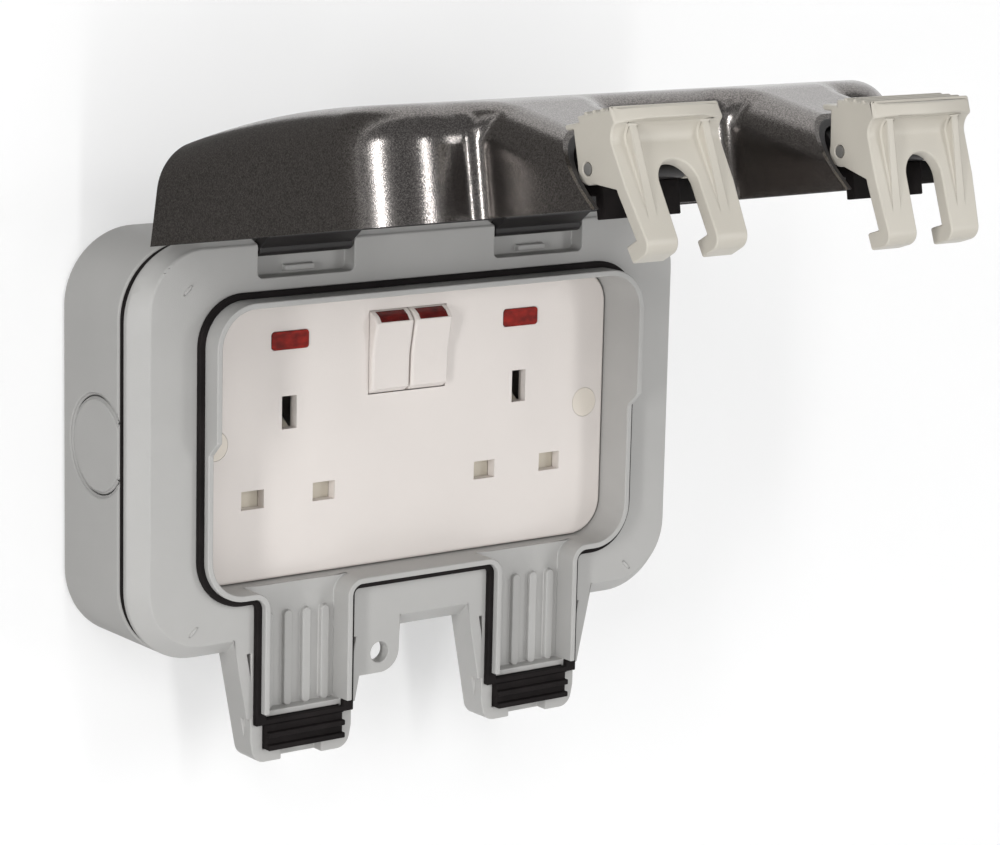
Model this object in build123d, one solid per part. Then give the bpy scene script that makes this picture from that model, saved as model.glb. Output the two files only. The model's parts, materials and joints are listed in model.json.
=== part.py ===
from build123d import *
import os
from math import cos, radians, sin, tan

# Weatherproof twin outlet, modelled with its lid open.
# Millimetres. X to the right, Y into the wall, Z up.
# The origin is the middle of the face that meets the wall.
# Sizes called "depth" or "front" are distances in front of the wall.
# Sizes that follow from others come last in each group.

# Clearances
fit = 0.3
running = 0.05
seat = 0.1

# Standard outlet: pin spacing and the slots that take the pins
pin_pitch = 22.23
line_slot_width = 7.0
line_slot_height = 5.0
earth_slot_width = 4.6
earth_slot_height = 8.8
outlet_pitch = 74.8
line_height = -15.5
outlet_x = outlet_pitch / 2
earth_height = line_height + pin_pitch

# Shutters
shutter_thick = 3.0
shutter_side = 0.985
shutter_overlap = 0.6
shutter_travel = 5.6
shutter_tongue_width = 3.8
shutter_ramp_reach = 9.0
shutter_ramp_rise = 5.87
shutter_ramp_wall = 3.4
spring_strip = 0.4
spring_half_span = 9.0
spring_breadth = 2.2
shutter_width = pin_pitch + line_slot_width + 2 * shutter_side
shutter_half_z = line_slot_height / 2 + shutter_overlap
shutter_ramp_low = earth_height - earth_slot_height / 2

# Moulding behind the socket plate, and the opening that takes them both
base_depth = 17.0
base_wall = 1.6
terminal_room = 8.4
ledge_thick = 2.0
ledge_side = 12.0
ledge_end = 3.2
fixing_edge = 6.9
opening_corner = 10.0
base_half_x = outlet_x + shutter_width / 2 + fit + base_wall
base_half_z = terminal_room + base_wall + shutter_travel + shutter_half_z - line_height
opening_width = 2 * (base_half_x + fit + ledge_side)
opening_height = 2 * (base_half_z + fit + ledge_end)
fixing_x = opening_width / 2 - fixing_edge

# Mounting box
frame_side = 20.8
frame_end = 16.8
box_corner = 20.0
box_depth = 28.0
box_wall = 2.5
knockout_radius = 13.4
knockout_groove = 1.2
knockout_groove_depth = 0.9
knockout_depth = 17.3
knockout_height = 1.0
wall_hole_edge_x = 23.0
wall_hole_edge_z = 19.5
wall_hole_radius = 2.5
wall_boss_radius = 5.5
wall_boss_height = 1.5
pillar_radius = 4.5
box_width = opening_width + 2 * frame_side
box_height = opening_height + 2 * frame_end
box_low = -box_height / 2

# Gasket between the box and the frame
box_seal_thick = 2.5
box_seal_inset = 0.6
box_seal_width = 3.4

# Front frame
frame_thick = 6.5
frame_step = 1.5
frame_slope = 4.1
frame_slope_top = 1.5
frame_edge = 0.8
rim_wall = 1.6
rim_low = 3.5
rim_high = 7.5
rim_step_height = 0.2
rim_step_rise = 3.8
rim_bend = 1.5
frame_relief_depth = 3.0
frame_relief_wall = 8.9
frame_relief_end = 16.5
frame_back = box_depth + box_seal_thick
frame_front = frame_back + frame_thick

# Cable legs
channel_width = 24.2
channel_depth = 3.6
leg_cheek = 2.6
leg_flare = 5.8
leg_drop = 30.0
leg_corner = 4.0
leg_thick = 9.0
leg_wall = 2.0
foot_room = 13.8
rib_count = 4
rib_pitch = 5.8
rib_width = 2.6
rib_rise = 1.4
rib_start = 7.3
lip_height = 1.6
lip_rise = 2.2
lip_hump_width = 13.0
lip_hump_rise = 1.5
cable_notch_width = 12.6
seal_bed_height = 8.6
wedge_width = 1.2
wedge_height = 6.0
wedge_depth = 3.0
leg_foot_width = channel_width + 2 * leg_cheek
leg_root_width = leg_foot_width + 2 * leg_flare
leg_end = box_low - leg_drop
leg_back = frame_front - leg_thick
channel_end = leg_end + foot_room
channel_floor = frame_front - channel_depth
rib_top = -opening_height / 2 - rib_start

# Padlock tab beside the left leg
tab_reach = 31.1
tab_drop = 11.0
tab_corner = 6.0
tab_thick = 4.0
tab_hole_edge = 6.4
tab_hole_rise = 5.7
tab_hole_radius = 2.8
tab_edge = tab_reach - outlet_x
tab_end = box_low - tab_drop
tab_hole_x = tab_edge - tab_hole_edge
tab_hole_z = tab_end + tab_hole_rise

# Hinge pockets and pins
pocket_width = 29.6
pocket_floor = 1.9
pocket_tall = 10.4
pocket_corner = 1.5
pocket_rib_width = 9.0
pocket_rib_height = 1.6
pocket_rib_rise = 1.6
hinge_depth = 2.1
hinge_drop = 2.9
hinge_pin_radius = 1.0
hinge_pin_grip = 3.0
knuckle_radius = 2.1
knuckle_side_gap = 0.5
lid_open_angle = 100.0
pocket_inner = outlet_x - pocket_width / 2
pocket_outer = outlet_x + pocket_width / 2
pocket_bottom = box_height / 2 - pocket_tall
hinge_front = frame_front - hinge_depth
hinge_height = box_height / 2 - hinge_drop

# Rubber lid seal with its cable blocks
lid_seal_width = 1.6
lid_seal_rise = 1.8
cable_block_rise = 1.6
cable_rib_count = 2
cable_rib_thick = 1.5
cable_rib_rise = 1.4

# Socket plate
plate_recess = 7.5
plate_thick = 3.0
plate_edge = 0.9
cap_radius = 4.0
cap_thick = 0.9
screw_head_radius = 3.4
screw_head_thick = 1.2
screw_radius = 1.7
screw_length = 17.0
plate_front = frame_front - plate_recess
plate_back = plate_front - plate_thick
ledge_back = plate_back - ledge_thick
base_back = plate_back - base_depth
base_floor = base_back + base_wall
shutter_front = plate_back - fit
shutter_back = shutter_front - shutter_thick
screw_seat = plate_front - cap_thick - screw_head_thick

# Rocker switches
rocker_width = 12.2
rocker_sweep = 11.9
rocker_proud = 7.2
rocker_hollow = 0.7
rocker_shoulder = 9.0
rocker_side_round = 0.9
rocker_pivot_depth = 1.6
rocker_tilt_angle = 6.0
rocker_gap = 0.4
rocker_hub = 2.4
rocker_nose = 6.0
rocker_nose_width = 5.0
rocker_pin_radius = 1.0
rocker_ear_thick = 2.0
flash_thick = 1.0
flash_border = 1.6
flash_start_angle = 53.0
flash_end_angle = 72.0
rocker_x = (rocker_width + rocker_gap) / 2
rocker_pivot = plate_back - rocker_pivot_depth
rocker_height = base_half_z - base_wall - rocker_sweep - rocker_gap

# Neon windows
neon_rise = 5.6
neon_width = 11.6
neon_tall = 5.0
neon_corner = 1.0
neon_proud = 0.3
neon_flange = 1.0
neon_flange_thick = 1.3
lamp_radius = 2.0
lamp_length = 9.0
lamp_end_round = 1.2
neon_height = rocker_height + neon_rise

# Brass contacts
brass_thick = 0.8
clip_gap = 4.1
clip_length = 9.0
clip_width = 5.5
earth_clip_length = 5.0
earth_clip_height = 6.0
bar_width = 3.0
terminal_size = 7.0
terminal_length = 6.0
terminal_screw_radius = 1.5
terminal_screw_head_radius = 2.4
terminal_screw_head = 1.6
bar_front = base_floor + seat + brass_thick

# Lid: metal skin over a black liner, drawn closed and then swung open
lid_gap = 0.4
lid_side_step = 4.4
lid_hinge_step = 1.8
lid_end_step = 1.0
lid_corner = 20.0
lid_edge = 10.0
lid_rise_hinge = 20.9
lid_rise_mid = 28.3
lid_rise_full = 26.8
lid_end_angle = 22.0
chute_side = 4.2
chute_past_leg = 10.0
chute_slant = 16.5
chute_roof_rise = 18.4
chute_bend = 4.0
chute_blend = 25.0
skin_wall = 0.9
liner_wall = 1.2
bond_gap = 0.05
hinge_arm_root = 5.0
hinge_arm_rise = 3.6
lid_rim = frame_front + lid_gap
lid_half = box_width / 2 - lid_side_step
lid_top = hinge_height - lid_hinge_step
lid_reach = 1.3 * lid_top
lid_bottom = box_low + lid_end_step
chute_half = leg_foot_width / 2 + chute_side
chute_end = leg_end - chute_past_leg
chute_reach = 1.3 * chute_end
chute_roof_end = chute_end + chute_slant
liner_face = skin_wall + bond_gap
liner_inside = liner_face + liner_wall

# Latches, drawn with the web level and then swung to how they hang
latch_pivot_rise = 9.4
latch_pivot_step = 5.0
latch_side = 0.8
latch_lug_radius = 3.6
latch_drop = 10.5
latch_web_thick = 3.4
latch_thumb_front = 9.2
latch_thumb_top = 3.0
latch_thumb_thick = 2.8
latch_thumb_angle = 18.0
latch_tab_height = 5.0
latch_tab_step = 1.5
latch_shelf_round = 4.0
latch_shelf_drop = 5.7
latch_shelf_bulge = 2.6
latch_hook_thick = 4.1
latch_hook_rise = 7.2
latch_hook_round = 3.0
latch_arm_pitch = 20.6
latch_arm_width = 9.6
latch_arm_taper = 1.4
latch_arch_start = 3.2
latch_cheek_foot = 9.4
latch_rib_width = 2.4
latch_rib_end = 17.0
latch_grip_count = 4
latch_grip_pitch = 2.8
latch_grip_radius = 0.6
latch_pin_radius = 1.4
latch_ear_half = 11.0
latch_ear_radius = 3.4
latch_ear_root = 9.0
latch_hooked_angle = 34.0
latch_left_angle = -21.0
latch_right_angle = -9.0
latch_half = leg_foot_width / 2 + latch_side
latch_pivot_front = frame_front + latch_pivot_rise
latch_pivot_height = chute_end + latch_pivot_step

# Rubber pads in the lid's chutes, which close on the cables
cable_pad_end = 4.1
cable_lip_thick = 2.8
cable_lip_drop = 2.4


def facing(front):
    """A plane parallel to the wall, seen from in front, at a distance from the wall."""
    return Plane(origin=(0, -front, 0), x_dir=(1, 0, 0), z_dir=(0, -1, 0))


def layer(shape, back, front):
    """An outline drawn in X and Z, carried from one distance to another."""
    return extrude(facing(back) * shape, amount=front - back)


def across(shape, left, right):
    """A side profile drawn in distance and height, carried along X."""
    side = Plane(origin=(right, 0, 0), x_dir=(0, -1, 0), z_dir=(-1, 0, 0))
    return extrude(side * shape, amount=right - left)


def profile(*points):
    """A closed face through corner points."""
    return make_face(Polyline(*points, close=True))


def block(left, right, bottom, top, back, front):
    """A plain box between six limits."""
    middle = Pos((left + right) / 2, (bottom + top) / 2)
    return layer(middle * Rectangle(right - left, top - bottom), back, front)


def rod(x, z, radius, back, front):
    """A round rod that stands out from the wall."""
    return layer(Pos(x, z) * Circle(radius), back, front)


def cross_rod(left, right, front, height, radius):
    """A round rod along X."""
    return across(Pos(front, height) * Circle(radius), left, right)


def turned(shape, front, height, degrees):
    """A shape swung about an axis along X: positive lifts what lies nearer the wall."""
    return shape.rotate(Axis((0, -front, height), (1, 0, 0)), degrees)


def upright(shape, bottom, top):
    """An outline drawn in X and Y, carried upwards."""
    return extrude(Plane(origin=(0, 0, bottom)) * shape, amount=top - bottom)


def bend(x, z, way, radius):
    """The filling of an inner corner between a level edge and a flank that goes down from it."""
    corner = Pos(x + way * radius / 2, z - radius / 2) * Rectangle(radius, radius)
    return corner - Pos(x + way * radius, z - radius) * Circle(radius)


def both_sides(make):
    """The left and right copies of something made for a side of -1 or 1."""
    return [make(-1), make(1)]


def fused(shapes):
    """One solid from several that touch."""
    first, *others = shapes
    return first.fuse(*others).clean() if others else first


def box_outline(inset):
    """The rounded outline shared by the box, its seal and the frame."""
    return RectangleRounded(box_width - 2 * inset, box_height - 2 * inset, box_corner - inset)


def make_mounting_box():
    """A tray with pillars for the plate screws, wall holes and a knock-out in each side."""
    tray = layer(box_outline(0), 0, box_depth) - layer(box_outline(box_wall), box_wall, box_depth)
    for side in (-1, 1):
        x = side * fixing_x
        tray += rod(x, 0, pillar_radius, box_wall / 2, ledge_back)
        tray -= rod(x, 0, screw_radius + seat, screw_seat - screw_length - fit, ledge_back)
        for end in (-1, 1):
            hole_x = side * (box_width / 2 - wall_hole_edge_x)
            hole_z = end * (box_height / 2 - wall_hole_edge_z)
            tray += rod(hole_x, hole_z, wall_boss_radius, box_wall / 2, box_wall + wall_boss_height)
            tray -= rod(hole_x, hole_z, wall_hole_radius, 0, box_wall + wall_boss_height)
        ring = Circle(knockout_radius) - Circle(knockout_radius - knockout_groove)
        ring = Pos(knockout_depth, knockout_height) * ring
        outside = side * box_width / 2
        inside = outside - side * knockout_groove_depth
        tray -= across(ring, min(outside, inside), max(outside, inside))
    return tray


def make_box_seal():
    """The rubber gasket between the box and the frame."""
    ring = box_outline(box_seal_inset) - box_outline(box_seal_inset + box_seal_width)
    return layer(ring, box_depth, frame_back)


def rim_outline(grow):
    """The opening in the frame together with its two cable channels, grown outwards."""
    shape = RectangleRounded(opening_width + 2 * grow, opening_height + 2 * grow, opening_corner + grow)
    foot = -opening_height / 2 - grow
    radius = rim_bend + rim_wall + lid_seal_width - grow
    half = channel_width / 2 + grow
    for side in (-1, 1):
        shape += Pos(side * outlet_x, channel_end / 2) * Rectangle(2 * half, -channel_end)
        for way in (-1, 1):
            shape += bend(side * outlet_x + way * half, foot, way, radius)
    return shape


def leg_outline(side):
    """One cable leg, wide at the frame and narrow at its foot."""
    foot = leg_foot_width / 2
    slope = (leg_root_width / 2 - foot) / (box_low - leg_end)
    top = -opening_height / 2 - rim_wall - lid_seal_width
    root = foot + slope * (top - leg_end)
    flank = profile((-root, top), (-foot, leg_end), (foot, leg_end), (root, top))
    corners = flank.vertices().group_by(Axis.Y)[0]
    return Pos(side * outlet_x, 0) * fillet(corners, leg_corner)


def leg_below(side, top, inset):
    """The part of a leg's outline under a height, drawn in by a wall."""
    shape = offset(leg_outline(side), -inset) if inset else leg_outline(side)
    return shape & Pos(side * outlet_x, top + leg_end / 2) * Rectangle(leg_root_width, -leg_end)


def make_tab():
    """The ear with a hole for a padlock, beside the left leg."""
    left = -outlet_x + leg_foot_width / 2 - leg_corner / 2
    top = box_low + box_corner / 2
    ear = profile((left, top), (tab_edge, top), (tab_edge, tab_end), (left, tab_end))
    corner = ear.vertices().group_by(Axis.Y)[0].sort_by(Axis.X)[-1]
    ear = fillet(corner, tab_corner) - Pos(tab_hole_x, tab_hole_z) * Circle(tab_hole_radius)
    return layer(ear, frame_front - tab_thick, frame_front)


def pocket_outline(side):
    """A hinge pocket, open at the frame's top edge."""
    top = box_height
    shape = profile((pocket_inner, pocket_bottom), (pocket_outer, pocket_bottom), (pocket_outer, top),
                    (pocket_inner, top))
    shape = fillet(shape.vertices().group_by(Axis.Y)[0], pocket_corner)
    return shape if side > 0 else mirror(shape, Plane.YZ)


def channel_parts(side):
    """Ribs along a cable channel's floor, and the humped lip at its end."""
    x = side * outlet_x
    root = channel_floor - seat
    parts = []
    tall = rib_top - channel_end + seat
    for k in range(rib_count):
        rib_x = x + (k - (rib_count - 1) / 2) * rib_pitch
        shape = Pos(rib_x, rib_top - tall / 2) * SlotOverall(tall, rib_width, rotation=90)
        parts.append(layer(shape, root, channel_floor + rib_rise))
    half = channel_width / 2 + seat
    low = channel_end - lip_height
    level = channel_floor + lip_rise
    parts.append(block(x - half, x + half, low, channel_end, root, level))
    hump = lip_hump_width / 2
    crest = ThreePointArc((x - hump, -level), (x, -level - lip_hump_rise), (x + hump, -level))
    foot = Polyline(crest @ 1, (x + hump, -root), (x - hump, -root), crest @ 0)
    parts.append(upright(make_face([crest, *foot.edges()]), low, channel_end))
    return parts


def wedge_slots(side):
    """Narrow tapering slots in a leg's face, beside the seal at its root and at its foot."""
    slots = []
    beside = channel_width / 2 + rim_wall + lid_seal_width + wedge_width
    for edge in (-1, 1):
        x = side * outlet_x + edge * beside
        for top in (box_low, channel_end - lip_height):
            near = x - edge * wedge_width / 2
            shape = profile((near, top), (near + edge * wedge_width, top), (near, top - wedge_height))
            slots.append(layer(shape, frame_front - wedge_depth, frame_front))
    return slots


def face_outline():
    """The frame's flat face, drawn in from the box by its sloping sides, and less at the hinges."""
    tall = box_height - frame_slope - frame_slope_top
    face = RectangleRounded(box_width - 2 * frame_slope, tall, box_corner - frame_slope)
    return Pos(0, (frame_slope - frame_slope_top) / 2) * face


def frame_body():
    """The slab with its legs, tab and skirt, before anything is cut from it."""
    level = frame_back + frame_step
    slab = layer(box_outline(0), frame_back, level)
    slab += loft([facing(level) * box_outline(0), facing(frame_front) * face_outline()], ruled=True)
    body = fillet(slab.faces().sort_by(Axis.Y)[0].edges(), frame_edge)
    for side in (-1, 1):
        body += layer(leg_outline(side), frame_back, frame_front)
        body += layer(leg_below(side, box_low - fit, 0), leg_back, frame_front)
    body += make_tab()
    body += layer(skirt_outline(), ledge_back, frame_front)
    body += layer(rim_outline(rim_wall), channel_floor, frame_front + rim_low)
    return body + tall_rim()


def skirt_outline():
    """The outside of the wall round the opening."""
    width = opening_width + 2 * rim_wall
    height = opening_height + 2 * rim_wall
    return RectangleRounded(width, height, opening_corner + rim_wall)


def tall_rim():
    """The upper half of the rim, which stands further out and steps down at the sides."""
    low = frame_front + rim_low
    high = frame_front + rim_high
    step = profile((frame_front, rim_step_height), (low, rim_step_height),
                   (high, rim_step_height + rim_step_rise),
                   (high, box_height), (frame_front, box_height))
    return layer(skirt_outline(), frame_front, high) & across(step, -box_width, box_width)


def cut_leg(frame, side):
    """Gives a leg its ribs, seal bed, cable notch and hollow back."""
    x = side * outlet_x
    bed_top = channel_end - lip_height
    half = channel_width / 2
    notch = cable_notch_width / 2
    frame += channel_parts(side)
    frame -= block(x - half, x + half, bed_top - seal_bed_height, bed_top, channel_floor, frame_front)
    frame -= block(x - notch, x + notch, leg_end, bed_top, channel_floor, frame_front)
    hollow = leg_below(side, box_low - fit - leg_wall, leg_wall)
    frame -= layer(hollow, leg_back, channel_floor - leg_wall)
    return frame - wedge_slots(side)


def cut_pocket(frame, side):
    """Gives the frame a hinge pocket with its rib and the holes for the hinge pin."""
    frame -= layer(pocket_outline(side), frame_back + pocket_floor, frame_front)
    middle = side * (pocket_inner + pocket_outer) / 2
    half = pocket_rib_width / 2
    low = pocket_bottom + pocket_rib_height / 2
    floor = frame_back + pocket_floor
    limits = (middle - half, middle + half)
    frame += block(*limits, low, low + pocket_rib_height, frame_back, floor + pocket_rib_rise)
    return frame - hinge_pin(side)


def make_front_frame():
    """The frame round the outlet: rim, skirt and ledge, cable legs, padlock tab and hinge pockets."""
    frame = frame_body()
    hollow = RectangleRounded(opening_width, opening_height, opening_corner)
    frame -= layer(hollow, plate_back, frame_front + rim_high)
    window = Rectangle(2 * (base_half_x + fit), 2 * (base_half_z + fit))
    frame -= layer(window, ledge_back, plate_back)
    frame -= layer(rim_outline(0), channel_floor, frame_front + rim_high)
    for side in (-1, 1):
        frame = cut_leg(frame, side)
        frame = cut_pocket(frame, side)
        frame -= rod(side * fixing_x, 0, screw_radius + fit, ledge_back, plate_back)
        inner = opening_width / 2 + rim_wall + fit
        outer = box_width / 2 - frame_relief_wall
        edges = sorted((side * inner, side * outer))
        high = box_height / 2 - frame_relief_end
        frame -= block(*edges, -high, high, frame_back, frame_back + frame_relief_depth)
    return frame


def hinge_pin(side):
    """A steel pin across one hinge pocket, gripped by the frame at both ends."""
    ends = sorted((side * (pocket_inner - hinge_pin_grip), side * (pocket_outer + hinge_pin_grip)))
    return cross_rod(*ends, hinge_front, hinge_height, hinge_pin_radius)


def make_hinge_pins():
    """The two hinge pins."""
    return Compound(both_sides(hinge_pin))


def make_lid_seal():
    """The rubber strip round the rim, moulded with a ribbed block under each cable channel."""
    grow = rim_wall + lid_seal_width
    seal = layer(rim_outline(grow) - rim_outline(rim_wall), frame_front, frame_front + lid_seal_rise)
    bed_top = channel_end - lip_height - seat
    bed_end = channel_end - lip_height - seal_bed_height + seat
    reach = channel_width / 2 + grow
    for side in (-1, 1):
        x = side * outlet_x
        half = channel_width / 2 - seat
        seal += block(x - half, x + half, bed_end, bed_top, channel_floor, frame_front + cable_block_rise)
        low = bed_top - cable_rib_thick
        seal += block(x - reach, x + reach, low, bed_top, frame_front, frame_front + lid_seal_rise)
        for way in (-1, 1):
            edges = sorted((x + way * reach, x + way * (channel_width / 2 + seat)))
            seal += block(*edges, low, channel_end, frame_front, frame_front + lid_seal_rise)
        pitch = (bed_top - bed_end - cable_rib_thick) / cable_rib_count
        for k in range(cable_rib_count):
            rib_low = bed_end + k * pitch
            front = frame_front + cable_block_rise + cable_rib_rise
            seal += block(x - half, x + half, rib_low, rib_low + cable_rib_thick, channel_floor, front)
    return seal


def make_socket_plate():
    """The moulded face with its slots, windows, screw wells and the ears of the switch pin."""
    outline = RectangleRounded(opening_width - 2 * fit, opening_height - 2 * fit, opening_corner - fit)
    plate = layer(outline, plate_back, plate_front)
    plate = fillet(plate.faces().sort_by(Axis.Y)[0].edges(), plate_edge)
    holes = []
    for side in (-1, 1):
        x = side * outlet_x
        for pin in (-1, 1):
            line_slot = Rectangle(line_slot_width, line_slot_height)
            holes.append(Pos(x + pin * pin_pitch / 2, line_height) * line_slot)
        holes.append(Pos(x, earth_height) * Rectangle(earth_slot_width, earth_slot_height))
        holes.append(Pos(x, neon_height) * RectangleRounded(neon_width, neon_tall, neon_corner))
        holes.append(Pos(side * fixing_x, 0) * Circle(screw_radius + fit))
    for hole in holes:
        plate -= layer(hole, plate_back, plate_front)
    window = rocker_width + rocker_gap
    plate -= cross_rod(-window, window, rocker_pivot, rocker_height, rocker_sweep + fit)
    for side in (-1, 1):
        plate -= rod(side * fixing_x, 0, cap_radius + seat, screw_seat, plate_front)
        ear = side * (rocker_width + rocker_gap + fit)
        edges = sorted((ear, ear + side * rocker_ear_thick))
        plate += block(*edges, rocker_height - rocker_hub, rocker_height + rocker_hub,
                       rocker_pivot - rocker_hub, plate_back + seat)
        plate -= cross_rod(*edges, rocker_pivot, rocker_height, rocker_pin_radius)
    return plate


def make_socket_base():
    """The tray behind the plate that carries the contacts, shutters and lamps."""
    shell = block(-base_half_x, base_half_x, -base_half_z, base_half_z, base_back, plate_back)
    inner_x = base_half_x - base_wall
    inner_z = base_half_z - base_wall
    base = shell - block(-inner_x, inner_x, -inner_z, inner_z, base_floor, plate_back)
    for side in (-1, 1):
        x = side * outlet_x
        for edge in (-1, 1):
            guide = sorted(x + edge * (shutter_width / 2 + fit + step) for step in (0, base_wall))
            low = line_height - shutter_half_z - shutter_travel
            base += block(*guide, low, line_height + shutter_half_z, base_floor, plate_back - seat)
        lamp_back = plate_back - neon_flange_thick - fit - 2 * lamp_radius
        base += block(x - lamp_radius, x + lamp_radius, neon_height - lamp_radius, neon_height + lamp_radius,
                      base_floor, lamp_back - fit)
    for x, z in terminal_places():
        base -= rod(x, z, terminal_screw_head_radius + fit, base_back, base_floor)
    return base


def make_plate_screws():
    """The two screws that clamp the plate and the frame to the box."""
    def screw(side):
        head = rod(side * fixing_x, 0, screw_head_radius, screw_seat, screw_seat + screw_head_thick)
        shank = rod(side * fixing_x, 0, screw_radius, screw_seat - screw_length, screw_seat)
        return fused([head, shank])
    return Compound(both_sides(screw))


def make_screw_cap(side):
    """A push-in cover over a plate screw."""
    return rod(side * fixing_x, 0, cap_radius, plate_front - cap_thick, plate_front)


def make_neon_lens(side):
    """A red window, held from behind by its flange."""
    x = side * outlet_x
    window = RectangleRounded(neon_width - 2 * seat, neon_tall - 2 * seat, neon_corner - seat)
    flange = Pos(x, neon_height) * Rectangle(neon_width + 2 * neon_flange, neon_tall + 2 * neon_flange)
    lens = layer(Pos(x, neon_height) * window, plate_back, plate_front + neon_proud)
    return fused([lens, layer(flange, plate_back - neon_flange_thick, plate_back)])


def make_neon_lamp(side):
    """A small glass lamp with round ends, lying behind its window."""
    front = plate_back - neon_flange_thick - fit - lamp_radius
    x = side * outlet_x
    glass = cross_rod(x - lamp_length / 2, x + lamp_length / 2, front, neon_height, lamp_radius)
    ends = [e for e in glass.edges() if e.geom_type == GeomType.CIRCLE]
    return fillet(ends, lamp_end_round)


def rocker_section():
    """A rocker's side profile about its pivot, level, with both ends on one arc."""
    far = 2 * rocker_sweep
    front = rocker_proud
    back = front - (far - rocker_shoulder)
    face = profile((0, -far), (back, -far), (front, -rocker_shoulder), (front - rocker_hollow, 0),
                   (front, rocker_shoulder), (back, far), (0, far))
    return Circle(rocker_sweep) & face


def flash_section():
    """The coloured end of a rocker, a skin over part of its upper arc."""
    far = 2 * rocker_sweep
    near = rocker_sweep / 2
    rays = [(cos(radians(turn)), sin(radians(turn))) for turn in (flash_start_angle, flash_end_angle)]
    inner = [(near * x, near * z) for x, z in rays]
    outer = [(far * x, far * z) for x, z in reversed(rays)]
    wedge = profile(*inner, *outer)
    return (rocker_section() & wedge) - offset(rocker_section(), -flash_thick)


def place_rocker(shape, side, width):
    """Carries a rocker profile across a width and tips it to the pressed position."""
    middle = side * rocker_x
    solid = across(Pos(rocker_pivot, rocker_height) * shape, middle - width / 2, middle + width / 2)
    return turned(solid, rocker_pivot, rocker_height, rocker_tilt_angle)


def make_rocker(side):
    """A switch rocker with its hub and the nose that works the switch."""
    solid = place_rocker(rocker_section(), side, rocker_width)
    ends = solid.faces().filter_by(Axis.X)
    edges = [e for face in ends for e in face.edges() if -(e @ 0.5).Y > plate_front]
    solid = fillet(edges, rocker_side_round) - make_rocker_flash(side)
    hub = Circle(rocker_hub) + profile((0, -rocker_hub), (0, rocker_hub), (-rocker_nose, 0))
    solid += place_rocker(hub, side, rocker_nose_width)
    reach = 2 * rocker_width
    return solid - cross_rod(-reach, reach, rocker_pivot, rocker_height, rocker_pin_radius + running)


def make_rocker_flash(side):
    """The coloured end that shows when the switch is on."""
    return place_rocker(flash_section(), side, rocker_width - 2 * flash_border)


def make_rocker_pin():
    """One steel pin through both rockers and the plate's ears."""
    half = rocker_width + rocker_gap + fit + rocker_ear_thick
    return cross_rod(-half, half, rocker_pivot, rocker_height, rocker_pin_radius)


def make_shutter(side):
    """A slide that covers the line slots, with a ramp for the earth pin to push down."""
    x = side * outlet_x
    half = shutter_width / 2
    top = line_height + shutter_half_z
    bar = block(x - half, x + half, line_height - shutter_half_z, top, shutter_back, shutter_front)
    foot = top - shutter_overlap
    back = shutter_front - shutter_ramp_reach
    high = shutter_ramp_low + shutter_ramp_rise
    ramp = profile((shutter_front, foot), (shutter_front, shutter_ramp_low), (back, high),
                   (back, high - shutter_ramp_wall), (shutter_back, shutter_ramp_low - shutter_ramp_wall),
                   (shutter_back, foot))
    tongue = across(ramp, x - shutter_tongue_width / 2, x + shutter_tongue_width / 2)
    return fused([bar, tongue])


def make_shutter_spring(side):
    """A bowed steel strip that lifts the shutter back."""
    x = side * outlet_x
    foot = -base_half_z + base_wall + seat
    crown = line_height - shutter_half_z - seat
    outer = ThreePointArc((x - spring_half_span, foot), (x, crown), (x + spring_half_span, foot))
    inner = ThreePointArc((x + spring_half_span - spring_strip, foot), (x, crown - spring_strip),
                          (x - spring_half_span + spring_strip, foot))
    ends = [Line(outer @ 1, inner @ 0), Line(inner @ 1, outer @ 0)]
    back = (shutter_front + shutter_back - spring_breadth) / 2
    return layer(make_face([outer, ends[0], inner, ends[1]]), back, back + spring_breadth)


def line_clip(x):
    """A brass clip that grips a line pin between two leaves."""
    back = bar_front - brass_thick
    half = clip_gap / 2
    outer = half + brass_thick
    end = back + clip_length
    leaves = profile((back, -outer), (end, -outer), (end, -half), (bar_front, -half),
                     (bar_front, half), (end, half), (end, outer), (back, outer))
    return across(Pos(0, line_height) * leaves, x - clip_width / 2, x + clip_width / 2)


def earth_clip(x):
    """A brass clip that grips the earth pin from its two sides."""
    back = bar_front - brass_thick
    half = clip_gap / 2
    low = earth_height - earth_clip_height / 2
    high = earth_height + earth_clip_height / 2
    leaves = [block(x - half - brass_thick, x - half, low, high, back, back + earth_clip_length),
              block(x + half, x + half + brass_thick, low, high, back, back + earth_clip_length)]
    web = block(x - half - brass_thick, x + half + brass_thick, low, high, back, bar_front)
    return fused([web, *leaves])


def strip(left, right, bottom, top):
    """A flat run of brass on the floor of the base."""
    return block(left, right, bottom, top, bar_front - brass_thick, bar_front)


def terminal(x, z):
    """A brass terminal block on a strip, bored for its screw."""
    half = terminal_size / 2
    back = bar_front - brass_thick
    body = block(x - half, x + half, z - half, z + half, back, bar_front + terminal_length)
    return body - rod(x, z, terminal_screw_radius + seat, back, bar_front + terminal_length / 2)


def terminal_places():
    """Neutral, earth and live terminals, in that order."""
    low = -base_half_z + base_wall + terminal_size / 2 + fit
    high = base_half_z - base_wall - terminal_size / 2 - fit
    return [(-outlet_x / 2, low), (-outlet_x / 2, high), (outlet_x / 2, high)]


def make_neutral_bar():
    """Both neutral clips on one strip with their terminal."""
    x, z = terminal_places()[0]
    ends = [side * outlet_x - pin_pitch / 2 for side in (-1, 1)]
    half = bar_width / 2
    bar = strip(ends[0] - half, ends[1] + half, z - half, z + half)
    risers = [strip(end - half, end + half, z, line_height) for end in ends]
    return fused([bar, *risers, *[line_clip(end) for end in ends], terminal(x, z)]) - rod(
        x, z, terminal_screw_radius + seat, base_floor, bar_front + terminal_length / 2)


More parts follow.
